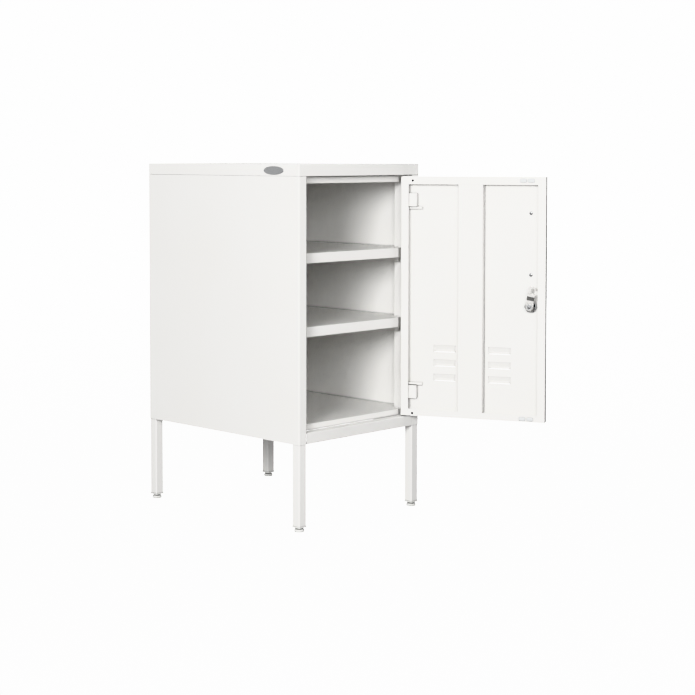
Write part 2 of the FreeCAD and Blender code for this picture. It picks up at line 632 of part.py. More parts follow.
def lock_cam():
    """A cranked arm, drawn upright and then tilted, with a hook cut in its tip."""
    base, lift, thick = CAM_SEAT, 3.5, CAM_THICK
    half = CAM_WIDTH / 2
    low = fuse(box(-half, half, base, base + thick, 0, 13),
               rod(half, (0, base, 0), (0, base + thick, 0)))
    slope = Part.Face(Part.makePolygon([V(-half, base, 13), V(-half, base + thick, 13),
                                        V(-half, base + lift + thick, 20), V(-half, base + lift, 20),
                                        V(-half, base, 13)])).extrude(V(CAM_WIDTH, 0, 0))
    high = box(-half, half, base + lift, base + lift + thick, 20, CAM_REACH)
    high = round_edges(high, 6.0, lambda m, d: abs(d.y) > 0.99 and m.z > 30)
    notch = fuse(rod(3.1, (-1.5, base, 34.5), (-1.5, base + 9, 34.5)),
                 box(-half - 1, -1.5, base, base + 9, 31.4, 37.6))
    hole = box(-3.95, 3.95, base, base + thick, -3.95, 3.95)
    return turn_lock(cut(fuse(low, slope, high), notch, hole))


def cam_screw():
    seat = CAM_SEAT + CAM_THICK
    washer = rod(5.7, (0, seat, 0), (0, seat + 1.0, 0))
    head = rod(3.4, (0, seat + 1.0, 0), (0, seat + 3.4, 0))
    head = head.makeFillet(0.9, [e for e in head.Edges if e.CenterOfMass.y > seat + 3.3
                                 and isinstance(e.Curve, Part.Circle)])
    shank = rod(1.55, (0, seat - 7, 0), (0, seat, 0))
    slots = [box(-2, 2, seat + 2.4, seat + 4, -0.4, 0.4),
             box(-0.4, 0.4, seat + 2.4, seat + 4, -2, 2)]
    return turn_lock(cut(fuse(washer, head, shank), *slots))


# ---- every piece by its name ----
def cabinet_pieces():
    pieces = {
        "top_panel": top_panel(),
        "left_side_panel": left_side_panel(),
        "right_side_panel": right_side_panel(),
        "back_panel": back_panel(),
        "bottom_panel": bottom_panel(),
        "bottom_front_rail": bottom_front_rail(),
        "top_front_rail": top_front_rail(),
        "shelf_clips": shelf_clips(),
        "top_fixing_screws": top_fixing_screws(),
        "top_fixing_nuts": top_fixing_nuts(),
        "back_rivets": back_rivets(),
        "oval_badge": oval_badge(),
        "upper_pivot_bush": pivot_bush(SKIRT_BOTTOM, 1),
        "lower_pivot_bush": pivot_bush(RAIL_TOP, -1),
        "leg_top_inserts": group(leg_top_insert(x, y) for x, y in corners().values()),
        "leg_corner_plates": group(leg_corner_plate(x, y) for x, y in corners().values()),
        "leg_bolts": group(leg_bolt(x, y) for x, y in corners().values()),
        "leg_bottom_plugs": group(leg_bottom_plug(x, y) for x, y in corners().values()),
    }
    for name in SHELF_TOPS:
        pieces[name] = shelf(name)
    for corner, (x, y) in corners().items():
        pieces[corner + "_leg"] = leg(x, y)
        pieces[corner + "_foot"] = foot(x, y)
    return pieces


def door_pieces():
    return {
        "door_skin": door_skin(),
        "door_stiffener": door_stiffener(),
        "upper_hinge_bracket": upper_hinge_bracket(),
        "lower_hinge_bracket": mirror_door(upper_hinge_bracket()),
        "upper_hinge_pin": upper_hinge_pin(),
        "lower_hinge_pin": mirror_door(upper_hinge_pin()),
        "upper_pin_spring": upper_pin_spring(),
        "lower_pin_spring": mirror_door(upper_pin_spring()),
        "door_buffers": door_buffers(),
        "door_handle": handle(),
        "handle_screws": handle_screws(),
        "lock_barrel": lock_barrel(),
        "lock_nut": lock_nut(),
        "lock_plug": lock_plug(),
        "lock_cam": lock_cam(),
        "cam_screw": cam_screw(),
    }


os.makedirs("parts", exist_ok=True)
finished = cabinet_pieces()
finished.update({name: swing(piece) for name, piece in door_pieces().items()})
for name, piece in finished.items():
    piece.exportStep("parts/" + name + ".step")
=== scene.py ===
import json
import math

import bmesh
import bpy
from mathutils import Matrix, Vector


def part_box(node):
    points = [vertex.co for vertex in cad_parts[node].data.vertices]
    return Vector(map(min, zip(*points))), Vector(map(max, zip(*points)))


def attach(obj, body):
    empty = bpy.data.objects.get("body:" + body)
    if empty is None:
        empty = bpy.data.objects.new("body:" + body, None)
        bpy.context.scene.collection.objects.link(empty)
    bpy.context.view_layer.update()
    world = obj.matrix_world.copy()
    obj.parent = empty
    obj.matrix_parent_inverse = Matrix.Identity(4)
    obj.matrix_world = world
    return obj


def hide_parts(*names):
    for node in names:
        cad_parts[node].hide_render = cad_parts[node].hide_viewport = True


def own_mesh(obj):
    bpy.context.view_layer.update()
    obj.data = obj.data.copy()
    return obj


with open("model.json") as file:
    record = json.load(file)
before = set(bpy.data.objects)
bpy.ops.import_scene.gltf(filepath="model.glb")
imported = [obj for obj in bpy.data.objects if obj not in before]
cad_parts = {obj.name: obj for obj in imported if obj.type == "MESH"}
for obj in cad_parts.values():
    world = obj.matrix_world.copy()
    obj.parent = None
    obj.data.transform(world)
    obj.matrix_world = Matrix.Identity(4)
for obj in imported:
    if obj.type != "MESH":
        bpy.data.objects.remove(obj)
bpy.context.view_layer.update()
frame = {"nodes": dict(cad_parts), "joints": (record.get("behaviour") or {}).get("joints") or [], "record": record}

# Metres, in the CAD model's frame: +X along the width, +Y from front to back, +Z up, the floor at 0.
# Small pieces are built in millimetres of a local place and scaled by finish_piece.
NODES = frame["nodes"]
MM = 0.001
WELD = 1e-6                      # CAD vertices nearer than this are one

# ---- camera ----
CAMERA_PLACE = (-2.3105, -2.4174, 0.7378)
CAMERA_TURN = 45.07              # degrees from +Y towards +X
CAMERA_TILT = 2.90               # degrees below the horizon
CAMERA_LENS = 82.10              # mm on a 36 mm sensor
CAMERA_SHIFT = (0.0396, -0.1619)

# ---- light ----
WORLD_LIGHT = 0.335
# Degrees left of the front, degrees up, apparent size in degrees, distance, strength of a sun as bright.
SOFT_BOXES = {
    "key": (61.0, 15.0, 17.0, 3.2, 2.3),
    "front_fill": (33.5, 13.0, 22.0, 2.6, 1.19),
    "back_fill": (238.0, 24.0, 24.0, 3.2, 2.1),
}
LAMP_AIM = 0.42                  # height that the soft boxes look at
STUDIO_RADIUS = 30.0
FLOOR_GLOW = 3.6                 # near the cabinet
SWEEP_GLOW = 7.0                 # the floor far away, and the backdrop
SWEEP_START, SWEEP_END = 0.8, 5.0        # where the floor starts to brighten, and where it is brightest
SURROUND_RADIUS = 20.0
SURROUND_BRIGHT, SURROUND_DARK = 1.1, 0.11
SURROUND_WAY = (-0.6, 1.0, 0.0)  # towards its bright side
SURROUND_SIDE = (-0.35, 0.3)     # where it turns from dark to bright that way, in shares of its radius
SURROUND_LEVEL = (-0.4, -0.05)   # where it grows upwards to its full brightness
SURROUND_BELOW = 0.25            # share of its brightness below that

# ---- sizes of small pieces, in millimetres ----
BARREL_RADIUS = 8.95             # of the cam lock's thread
PLUG_BORE = 6.05                 # radius of the barrel's bore
CAM_THICK = 2.0
CAM_BEND = (13.7, 21.5)          # heights above the lock's axis between which the cam steps inwards
WASHER_THICK = 1.0
SPRING_WIRE = 0.45               # radius
SPRING_TURNS = 7.5
PAD_HALF_WIDTH, PAD_HALF_HEIGHT = 6.7, 3.8
# painted shadow cups behind the door's flange holes
SHADOW_CUP_RADIUS = 2.35
SHADOW_CUP_DEPTH = 8.75
SHADOW_CUP_INSET = 25.5              # from the door's hinge edge
SHADOW_CUP_ABOVE, SHADOW_CUP_BELOW = 5.3, 8.8    # from the door's lower and upper edge
GLIDE_TOP = 6.5                  # height of a foot's nylon glide


# ---- shader helpers ----
MIX_FACTOR, MIX_A, MIX_B, MIXED = 0, 6, 7, 2     # sockets of a Mix node that mixes colours


def new_material(name, colour, roughness, metallic=0.0):
    material = bpy.data.materials.new(name)
    material.use_nodes = True
    shader = material.node_tree.nodes["Principled BSDF"]
    shader.inputs["Base Color"].default_value = (*colour, 1.0)
    shader.inputs["Roughness"].default_value = roughness
    shader.inputs["Metallic"].default_value = metallic
    return material, shader


def add(material, kind, **settings):
    node = material.node_tree.nodes.new(kind)
    for name, value in settings.items():
        setattr(node, name, value)
    return node


def link(material, source, target):
    material.node_tree.links.new(source, target)


def noise(material, scale, detail=2.0, stretch=(1, 1, 1)):
    """Noise fixed to the object, in cycles a metre. Returns its grey output."""
    place = add(material, "ShaderNodeTexCoord")
    mapping = add(material, "ShaderNodeMapping")
    mapping.inputs["Scale"].default_value = stretch
    texture = add(material, "ShaderNodeTexNoise")
    texture.inputs["Scale"].default_value = scale
    texture.inputs["Detail"].default_value = detail
    link(material, place.outputs["Object"], mapping.inputs["Vector"])
    link(material, mapping.outputs["Vector"], texture.inputs["Vector"])
    return texture.outputs["Fac"]


def spread(material, value, low, high, start=0.3, end=0.7):
    """Maps a grey value to low..high."""
    node = add(material, "ShaderNodeMapRange")
    for name, number in (("From Min", start), ("From Max", end), ("To Min", low), ("To Max", high)):
        node.inputs[name].default_value = number
    link(material, value, node.inputs["Value"])
    return node.outputs["Result"]


def tint(material, value, dark, light):
    """Blends two colours by a grey value."""
    ramp = add(material, "ShaderNodeValToRGB")
    ramp.color_ramp.elements[0].position = 0.3
    ramp.color_ramp.elements[1].position = 0.7
    ramp.color_ramp.elements[0].color = (*dark, 1.0)
    ramp.color_ramp.elements[1].color = (*light, 1.0)
    link(material, value, ramp.inputs["Fac"])
    return ramp.outputs["Color"]


def painted_corner_shade(material, colour, reach, darkest):
    """Painted shade: darkens a colour in seams and corners within reach, by an ambient occlusion node, where shade
    falls.
    """
    near = add(material, "ShaderNodeAmbientOcclusion", samples=8, only_local=False)
    near.inputs["Distance"].default_value = reach
    shade = spread(material, near.outputs["AO"], darkest, 1.0, 0.3, 0.95)
    mixed = add(material, "ShaderNodeMix", data_type="RGBA", blend_type="MULTIPLY")
    mixed.inputs[MIX_FACTOR].default_value = 1.0
    link(material, colour, mixed.inputs[MIX_A])
    link(material, shade, mixed.inputs[MIX_B])
    return mixed.outputs[MIXED]


def bump(material, shader, *layers, start=None):
    """Stacks bump layers, each (grey value, depth in metres, strength), on a starting normal."""
    normal = start
    for value, depth, strength in layers:
        node = add(material, "ShaderNodeBump")
        node.inputs["Strength"].default_value = strength
        node.inputs["Distance"].default_value = depth
        link(material, value, node.inputs["Height"])
        if normal:
            link(material, normal, node.inputs["Normal"])
        normal = node.outputs["Normal"]
    link(material, normal, shader.inputs["Normal"])


# ---- materials ----
def powder_coat():
    """White powder coat: orange peel, a fine grain, a faint drift of tone, softly rounded edges, and painted shade
    in seams and corners.
    """
    material, shader = new_material("powder_coat", (0.845, 0.838, 0.818), 0.45)
    drift = noise(material, 5.0, 3.0)
    speck = noise(material, 3600.0, 1.0)
    base = tint(material, drift, (0.838, 0.829, 0.807), (0.852, 0.846, 0.830))
    flecked = add(material, "ShaderNodeMix", data_type="RGBA")
    flecked.inputs[MIX_B].default_value = (0.77, 0.76, 0.735, 1.0)
    link(material, spread(material, speck, 0.0, 0.35, 0.62, 0.75), flecked.inputs[MIX_FACTOR])
    link(material, base, flecked.inputs[MIX_A])
    # painted shade: the coat's colour is darkened where surfaces meet, by ambient occlusion
    seams = painted_corner_shade(material, flecked.outputs[MIXED], 0.005, 0.3)
    link(material, seams, shader.inputs["Base Color"])
    peel = noise(material, 520.0, 2.0)
    grain = noise(material, 2600.0, 1.0)
    link(material, spread(material, peel, 0.38, 0.52), shader.inputs["Roughness"])
    rounded = add(material, "ShaderNodeBevel", samples=4)
    rounded.inputs["Radius"].default_value = 0.0006
    bump(material, shader, (peel, 0.00008, 0.35), (grain, 0.00002, 0.3), start=rounded.outputs["Normal"])
    return material


def plated_steel():
    """Bright zinc plating with fine scratches and a cloudy bloom, and painted shade in its corners."""
    material, shader = new_material("plated_steel", (0.46, 0.465, 0.47), 0.3, 1.0)
    bloom = noise(material, 240.0, 4.0)
    scratch = noise(material, 900.0, 3.0, (1, 1, 8))
    base = tint(material, bloom, (0.36, 0.365, 0.37), (0.56, 0.565, 0.57))
    # painted shade: the plating's colour is darkened where surfaces meet, by ambient occlusion
    link(material, painted_corner_shade(material, base, 0.003, 0.15), shader.inputs["Base Color"])
    link(material, spread(material, scratch, 0.22, 0.42), shader.inputs["Roughness"])
    bump(material, shader, (scratch, 0.00002, 0.3))
    return material


def nickel():
    """Satin nickel on a zinc casting, with painted shade in its corners."""
    material, shader = new_material("nickel", (0.75, 0.745, 0.73), 0.18, 1.0)
    cloud = noise(material, 300.0, 3.0)
    brush = noise(material, 1400.0, 2.0, (6, 6, 1))
    base = tint(material, cloud, (0.56, 0.55, 0.53), (0.72, 0.71, 0.70))
    # painted shade: the nickel's colour is darkened where surfaces meet, by ambient occlusion
    link(material, painted_corner_shade(material, base, 0.003, 0.15), shader.inputs["Base Color"])
    link(material, spread(material, brush, 0.12, 0.28), shader.inputs["Roughness"])
    bump(material, shader, (brush, 0.00001, 0.3))
    return material


def aluminium():
    """Plain aluminium with a drawn grain."""
    material, shader = new_material("aluminium", (0.75, 0.75, 0.75), 0.35, 1.0)
    grain = noise(material, 700.0, 3.0, (1, 1, 10))
    base = tint(material, grain, (0.66, 0.66, 0.66), (0.80, 0.80, 0.80))
    link(material, base, shader.inputs["Base Color"])
    link(material, spread(material, grain, 0.28, 0.45), shader.inputs["Roughness"])
    bump(material, shader, (grain, 0.00001, 0.3))
    return material


def badge_metal():
    """Brushed grey metal of the blank badge."""
    material, shader = new_material("badge_metal", (0.355, 0.36, 0.365), 0.38, 1.0)
    grain = noise(material, 500.0, 3.0, (1, 1, 14))
    base = tint(material, grain, (0.30, 0.303, 0.308), (0.41, 0.414, 0.42))
    link(material, base, shader.inputs["Base Color"])
    link(material, spread(material, grain, 0.24, 0.40), shader.inputs["Roughness"])
    bump(material, shader, (grain, 0.00001, 0.4))
    return material


def nylon():
    """White moulded nylon with a fine spark-eroded texture, and painted shade in its corners."""
    material, shader = new_material("nylon", (0.74, 0.74, 0.72), 0.5)
    cloud = noise(material, 60.0, 2.0)
    grain = noise(material, 1800.0, 2.0)
    base = tint(material, cloud, (0.71, 0.71, 0.685), (0.77, 0.77, 0.75))
    # painted shade: the nylon's colour is darkened where surfaces meet, by ambient occlusion
    link(material, painted_corner_shade(material, base, 0.005, 0.4), shader.inputs["Base Color"])
    link(material, spread(material, grain, 0.42, 0.60), shader.inputs["Roughness"])
    bump(material, shader, (grain, 0.00002, 0.3))
    return material


def rubber():
    """Milky soft pads, with painted shade in their corners."""
    material, shader = new_material("rubber", (0.66, 0.67, 0.67), 0.6)
    grain = noise(material, 1200.0, 2.0)
    base = tint(material, grain, (0.60, 0.61, 0.61), (0.68, 0.69, 0.69))
    # painted shade: the rubber's colour is darkened where surfaces meet, by ambient occlusion
    link(material, painted_corner_shade(material, base, 0.003, 0.25), shader.inputs["Base Color"])
    link(material, spread(material, grain, 0.5, 0.7), shader.inputs["Roughness"])
    bump(material, shader, (grain, 0.00002, 0.4))
    return material


def painted_shadow_black():
    """Painted shadow: a near-black material that stands for the shade inside a hole."""
    material, shader = new_material("painted_shadow_black", (0.02, 0.02, 0.02), 0.7)
    grain = noise(material, 900.0, 2.0)
    base = tint(material, grain, (0.012, 0.012, 0.012), (0.03, 0.03, 0.028))
    link(material, base, shader.inputs["Base Color"])
    link(material, spread(material, grain, 0.6, 0.85), shader.inputs["Roughness"])
    bump(material, shader, (grain, 0.00002, 0.3))
    return material


MATERIALS = {
    # painted shadow: near-black, for the shade inside the door's flange holes
    "dark": painted_shadow_black(),
    "white_powder_coat": powder_coat(),
    "zinc_plated_steel": plated_steel(),
    "nickel_plated_zinc": nickel(),
    "rivet_aluminium": aluminium(),
    "badge_aluminium": badge_metal(),
    "white_nylon": nylon(),
    "pale_rubber": rubber(),
}


def finish_cad_nodes():
    """Gives every CAD node the detailed material of its slot."""
    for part in frame["record"]["subparts"]:
        node = NODES[part["node"]]
        for place in node.material_slots:
            place.material = MATERIALS[part["material_slot"]]


# ---- places ----
JOINTS = {joint["name"]: joint for joint in frame["joints"]}


def door_place():
    """Takes a point of the closed door to where the open door holds it."""
    hinge = JOINTS["door_hinge"]
    pivot = Matrix.Translation(hinge["pos_m"])
    turn = Matrix.Rotation(math.radians(-hinge["range_deg"][0]), 4, "Z")
    return pivot @ turn @ pivot.inverted()


def lock_place(turned):
    """The lock's axis as local Y, from the outer face of the door inwards, Z up."""
    door = door_place()
    centre = door.inverted() @ Vector(JOINTS["lock_turn"]["pos_m"])
    tilt = math.radians(JOINTS["lock_turn"]["range_deg"][0]) if turned else 0.0
    return door @ Matrix.Translation(centre) @ Matrix.Rotation(tilt, 4, "Y")


def local_box(node, place):
    """(lowest, highest) corner of a CAD node in the axes of a place, in millimetres."""
    back = place.inverted()
    corners = [back @ vertex.co / MM for vertex in NODES[node].data.vertices]
    return [Vector([pick(corner[k] for corner in corners) for k in range(3)]) for pick in (min, max)]


def local_islands(node, place):
    """The local boxes' middles of a CAD node's separate solids, sorted."""
    mesh = bmesh.new()
    mesh.from_mesh(NODES[node].data)
    bmesh.ops.remove_doubles(mesh, verts=mesh.verts, dist=WELD)
    back = place.inverted()
    left = set(mesh.verts)
    middles = []
    while left:
        island, waiting = [], [left.pop()]
        while waiting:
            vertex = waiting.pop()
            island.append(vertex)
            for edge in vertex.link_edges:
                other = edge.other_vert(vertex)
                if other in left:
                    left.discard(other)
                    waiting.append(other)
        points = [back @ vertex.co / MM for vertex in island]
        middles.append(Vector([(min(p[k] for p in points) + max(p[k] for p in points)) / 2
                               for k in range(3)]))
    mesh.free()
    return sorted(middles, key=tuple)


# ---- mesh helpers, in millimetres of a local place ----
def turns(count):
    return [2 * math.pi * k / count for k in range(count)]


def around_y(radius, angle, y):
    return Vector((radius * math.cos(angle), y, radius * math.sin(angle)))


def around_z(radius, angle, z):
    return Vector((radius * math.cos(angle), radius * math.sin(angle), z))


def add_rings(mesh, rings, closed=False):
    """Quads between rings of equal length. Unclosed rings end in caps."""
    rows = [[mesh.verts.new(point) for point in ring] for ring in rings]
    pairs = list(zip(rows, rows[1:])) + ([(rows[-1], rows[0])] if closed else [])
    for low, high in pairs:
        for k in range(len(low)):
            following = (k + 1) % len(low)
            mesh.faces.new((low[k], low[following], high[following], high[k]))
    if not closed:
        mesh.faces.new(list(reversed(rows[0])))
        mesh.faces.new(rows[-1])


def finish_piece(name, mesh, place, slot, body, replaced=(), smooth=40.0, material=None):
    """Turns a millimetre mesh into a piece at its place, riding on a body."""
    bmesh.ops.recalc_face_normals(mesh, faces=mesh.faces)
    data = bpy.data.meshes.new(name)
    mesh.to_mesh(data)
    mesh.free()
    data.transform(place @ Matrix.Scale(MM, 4))
    data.materials.append(material or MATERIALS[slot])
    data.shade_smooth()
    data.set_sharp_from_angle(angle=math.radians(smooth))
    piece = bpy.data.objects.new(name, data)
    bpy.context.collection.objects.link(piece)
    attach(piece, body)
    if replaced:
        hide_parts(*replaced)
    return piece


def bevelled(piece, width, segments, angle):
    """Rounds a piece's sharp edges; the width is in millimetres."""
    bevel = piece.modifiers.new("rounding", "BEVEL")
    bevel.width = width * MM
    bevel.segments = segments
    bevel.limit_method = "ANGLE"
    bevel.angle_limit = math.radians(angle)
    bevel.harden_normals = True


def ridge(phase):
    """A triangle wave of thread flanks, 0 at the crest and 1 at the root."""
    return 1 - abs(2 * (phase % 1.0) - 1)


def thread_rings(radius, start, end, pitch, depth, axis, flat=None, count=72, steps=6):
    """Rings of a screw thread along an axis, with optional flats at +-flat on X."""
    rings = []
    levels = int((end - start) / pitch * steps)
    for level in range(levels + 1):
        along = start + (end - start) * level / levels
        fade = min(1.0, level / steps, (levels - level) / steps)
        ring = []
        for k, angle in enumerate(turns(count)):
            out = radius - depth * (1 - fade + fade * ridge(along / pitch - k / count))
            point = axis(out, angle, along)
            if flat:
                point.x = max(-flat, min(flat, point.x))
            ring.append(point)
        rings.append(ring)
    return rings


def cross_head(mesh, radius, base, height, centre=(0.0, 0.0), slot_half=0.42):
    """A pan head on local Y with a cross recess, as a fine polar sheet over a short side."""
    count, steps = 96, 22
    recess, depth = 0.62, 0.75       # shares of the radius and of the height
    wall, end_wall = 0.14, 0.2       # widths over which the recess's walls fall
    cx, cz = centre
    rings = [[Vector((cx + radius * math.cos(a), base, cz + radius * math.sin(a))) for a in turns(count)]]
    for step in range(steps + 1):
        r = radius * (1 - 0.985 * step / steps)
        dome = base + height * (1 - (r / radius) ** 4 * 0.55 - (r / radius) ** 2 * 0.08)
        ring = []
        for a in turns(count):
            x, z = r * math.cos(a), r * math.sin(a)
            width = slot_half * (1.25 - 0.5 * r / radius)
            inside = max(0.0, min(1.0, (width - min(abs(x), abs(z))) / wall))
            inside *= max(0.0, min(1.0, (recess * radius - r) / end_wall))
            ring.append(Vector((cx + x, dome - inside * height * depth, cz + z)))
        rings.append(ring)
    add_rings(mesh, rings)


# ---- the lock ----
def hexagon_radius(angle, flats):
    return flats / 2 / math.cos(angle % (math.pi / 3) - math.pi / 6)


def lock_nut():
    """A thin hexagon nut with chamfered corners and a chamfered bore."""
    place = lock_place(turned=False)
    low, high = local_box("lock_nut", place)
    flats = (high.z - low.z) - 0.2
    face, slope, chamfer = flats * 0.475, 0.5, 0.5

    def ring_at(radius, y):
        return [around_y(radius, angle, y) for angle in turns(96)]

    def hexagon_at(y, lean):
        ring = []
        for angle in turns(96):
            radius = hexagon_radius(angle, flats)
            ring.append(around_y(radius, angle, y + lean * (radius - face)))
        return ring

    rings = [ring_at(BARREL_RADIUS + chamfer, low.y), ring_at(face, low.y),
             hexagon_at(low.y, slope), hexagon_at(high.y, -slope),
             ring_at(face, high.y), ring_at(BARREL_RADIUS + chamfer, high.y),
             ring_at(BARREL_RADIUS, high.y - chamfer), ring_at(BARREL_RADIUS, low.y + chamfer)]
    mesh = bmesh.new()
    add_rings(mesh, rings, closed=True)
    finish_piece("chamfered_lock_nut", mesh, place, "zinc_plated_steel", "door", ["lock_nut"], 20.0)


def lock_barrel():
    """The lock's body: a rolled bezel outside, a threaded barrel with two flats inside."""
    place = lock_place(turned=False)
    low, high = local_box("lock_barrel", place)
    bezel = (high.x - low.x) / 2
    face = ((PLUG_BORE, high.y - 0.3), (PLUG_BORE, low.y + 0.5), (PLUG_BORE + 0.5, low.y),
            (bezel - 1.6, low.y), (bezel - 0.6, low.y + 0.35), (bezel - 0.1, low.y + 1.0),
            (bezel, low.y + 1.8), (bezel, -0.05), (bezel - 0.4, 0.0), (BARREL_RADIUS - 0.35, 0.0))
    inner_end = ((BARREL_RADIUS - 0.9, high.y), (PLUG_BORE + 0.3, high.y))
    rings = [[around_y(radius, angle, y) for angle in turns(72)] for radius, y in face]
    rings += thread_rings(BARREL_RADIUS, 0.6, high.y - 0.4, 1.0, 0.42, around_y, flat=7.9)
    rings += [[around_y(radius, angle, y) for angle in turns(72)] for radius, y in inner_end]
    mesh = bmesh.new()
    add_rings(mesh, rings, closed=True)
    finish_piece("threaded_lock_barrel", mesh, place, "nickel_plated_zinc", "door",
                 ["lock_barrel"], 50.0)


def arc(centre, radius, start, end, steps=8):
    """Points (x, z) of an arc, angles in degrees."""
    points = []
    for k in range(steps + 1):
        angle = math.radians(start + (end - start) * k / steps)
        points.append((centre[0] + radius * math.cos(angle), centre[1] + radius * math.sin(angle)))
    return points


def cam_outline(half, reach):
    """The cam's outline seen from inside the cabinet, upright: a hooked tip, a round foot."""
    notch_low, notch_high, notch_end = reach - 14.5, reach - 4.6, 1.2
    outline = arc((0, 0), half, 180, 360, 24)
    outline += arc((half - 5.2, reach - 5.2), 5.2, 0, 90)
    outline += arc((4.6 - half, reach - 4.6), 4.6, 90, 180)
    outline += arc((1.0 - half, notch_high - 2.2), 0.8, 180, 360, 6)
    outline += [(2.6 - half, notch_high - 1.0)]
    outline += arc((notch_end - 2.6, notch_high - 2.6), 2.6, 90, 0)
    outline += arc((notch_end - 2.0, notch_low + 2.0), 2.0, 0, -90, 6)
    outline += arc((1.2 - half, notch_low - 1.2), 1.2, 90, 180, 5)
    return outline


def cut_at(outline, levels):
    """An outline of (x, z) points, with a point added wherever it crosses a level."""
    points = []
    for (x, z), (next_x, next_z) in zip(outline, outline[1:] + outline[:1]):
        points.append((x, z))
        for level in sorted(levels, reverse=next_z < z):
            if min(z, next_z) < level < max(z, next_z):
                points.append((x + (next_x - x) * (level - z) / (next_z - z), level))
    return points


def lock_cam():
    """A cranked steel arm: flat at the plug, stepped inwards, then a hook."""
    place = lock_place(turned=True)
    low, high = local_box("lock_cam", place)
    lift = (high.y - low.y) - CAM_THICK
    bend_start, bend_end = CAM_BEND
    outline = cut_at(cam_outline((high.x - low.x) / 2, high.z), CAM_BEND)
    mesh = bmesh.new()
    outer, inner = [], []
    for x, z in outline:
        rise = max(0.0, min(1.0, (z - bend_start) / (bend_end - bend_start)))
        y = low.y + lift * rise
        outer.append(mesh.verts.new((x, y, z)))
        inner.append(mesh.verts.new((x, y + CAM_THICK, z)))
    for bottom, top in ((-math.inf, bend_start), CAM_BEND, (bend_end, math.inf)):
        flat = [k for k, (x, z) in enumerate(outline) if bottom <= z <= top]
        for side in (outer, inner):
            mesh.faces.new([side[k] for k in flat])
    for k in range(len(outline)):
        mesh.faces.new((outer[k - 1], outer[k], inner[k], inner[k - 1]))
    piece = finish_piece("hooked_lock_cam", mesh, place, "nickel_plated_zinc", "lock_turning",
                         ["lock_cam"], 20.0)
    bevelled(piece, 0.35, 3, 20.0)


def cam_screw():
    """The screw that holds the cam, with a washer under its head."""
    place = lock_place(turned=True)
    low, high = local_box("cam_screw", place)
    washer, bore = (high.x - low.x) / 2, 3.2
    seat = high.y - 3.4
    head = seat + WASHER_THICK
    profile = ((washer - 0.3, seat), (washer, seat + 0.25), (washer, head - 0.25), (washer - 0.3, head),
               (bore, head), (bore, seat))
    mesh = bmesh.new()
    add_rings(mesh, [[around_y(radius, a, y) for a in turns(64)] for radius, y in profile], closed=True)
    cross_head(mesh, 3.4, head, high.y - head)
    add_rings(mesh, thread_rings(1.55, low.y, head, 0.7, 0.2, around_y, count=32))
    finish_piece("cam_fixing_screw", mesh, place, "zinc_plated_steel", "lock_turning", ["cam_screw"], 35.0)


def handle_screws():
    """Pan-head screws through the skin into the handle."""
    place = door_place()
    low, high = local_box("handle_screws", place)
    head = 2.2
    mesh = bmesh.new()
    for middle in local_islands("handle_screws", place):
        centre = (middle.x, middle.z)
        cross_head(mesh, (high.x - low.x) / 2, high.y - head, head, centre, slot_half=0.5)
        shank = thread_rings(1.95, low.y, high.y - head, 0.8, 0.25, around_y, count=32)
        offset = Vector((middle.x, 0, middle.z))
        add_rings(mesh, [[point + offset for point in ring] for ring in shank])
    finish_piece("handle_fixing_screws", mesh, place, "zinc_plated_steel", "door", ["handle_screws"], 35.0)


# ---- pin springs, soft pads, hole linings and feet ----
def pin_spring(end):
    """A compression spring with a closed turn at each end."""
    node, joint = end + "_pin_spring", end + "_pin_pull"
    place = door_place()
    low, high = local_box(node, place)
    coil = (high.x - low.x) / 2 - SPRING_WIRE
    centre = Vector(((low.x + high.x) / 2, (low.y + high.y) / 2, 0))
    closed_rise = 2 * SPRING_WIRE * 1.02
    open_rise = (high.z - low.z) - 2 * SPRING_WIRE - 2 * closed_rise
    steps = int(SPRING_TURNS * 40)
    rings = []
    for step in range(steps + 1):
        turned = SPRING_TURNS * step / steps
        closed_turns = min(turned, 1.0) + max(0.0, turned - SPRING_TURNS + 1)
        opened = max(0.0, min(1.0, (turned - 1) / (SPRING_TURNS - 2)))
        z = low.z + SPRING_WIRE + closed_rise * closed_turns + open_rise * opened
        angle = 2 * math.pi * turned
        section = [(SPRING_WIRE * math.cos(a), SPRING_WIRE * math.sin(a)) for a in turns(12)]
        rings.append([centre + around_z(coil + out, angle, z + up) for out, up in section])
    mesh = bmesh.new()
    add_rings(mesh, rings)
    piece = finish_piece(end + "_pin_coil_spring", mesh, place, "zinc_plated_steel", "door",
                         [node], 60.0)
    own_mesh(piece)


def pad_ring(half_x, half_z, centre, y, count=64):
    """A rounded rectangle, as a superellipse of the fifth power."""
    ring = []
    for angle in turns(count):
        across, up = math.cos(angle), math.sin(angle)
        reach = (abs(across / half_x) ** 5 + abs(up / half_z) ** 5) ** -0.2
        ring.append(Vector((centre.x + reach * across, y, centre.z + reach * up)))
    return ring


def buffers():
    """Soft stick-on pads: a bulged side, a rounded shoulder and a shallow dome."""
    place = door_place()
    low, high = local_box("door_buffers", place)
    thick = high.y - low.y
    mesh = bmesh.new()
    for middle in local_islands("door_buffers", place):
        rings = []
        for shrink, rise in ((0.25, 0.0), (0.0, 0.18), (0.0, 0.42), (0.18, 0.66), (0.55, 0.82), (1.2, 0.92),
                             (2.3, 0.98), (3.3, 1.0)):
            rings.append(pad_ring(PAD_HALF_WIDTH - shrink, PAD_HALF_HEIGHT - shrink, middle,
                                  low.y + thick * rise))
        add_rings(mesh, rings)
    finish_piece("soft_door_buffers", mesh, place, "pale_rubber", "door", ["door_buffers"], 60.0)


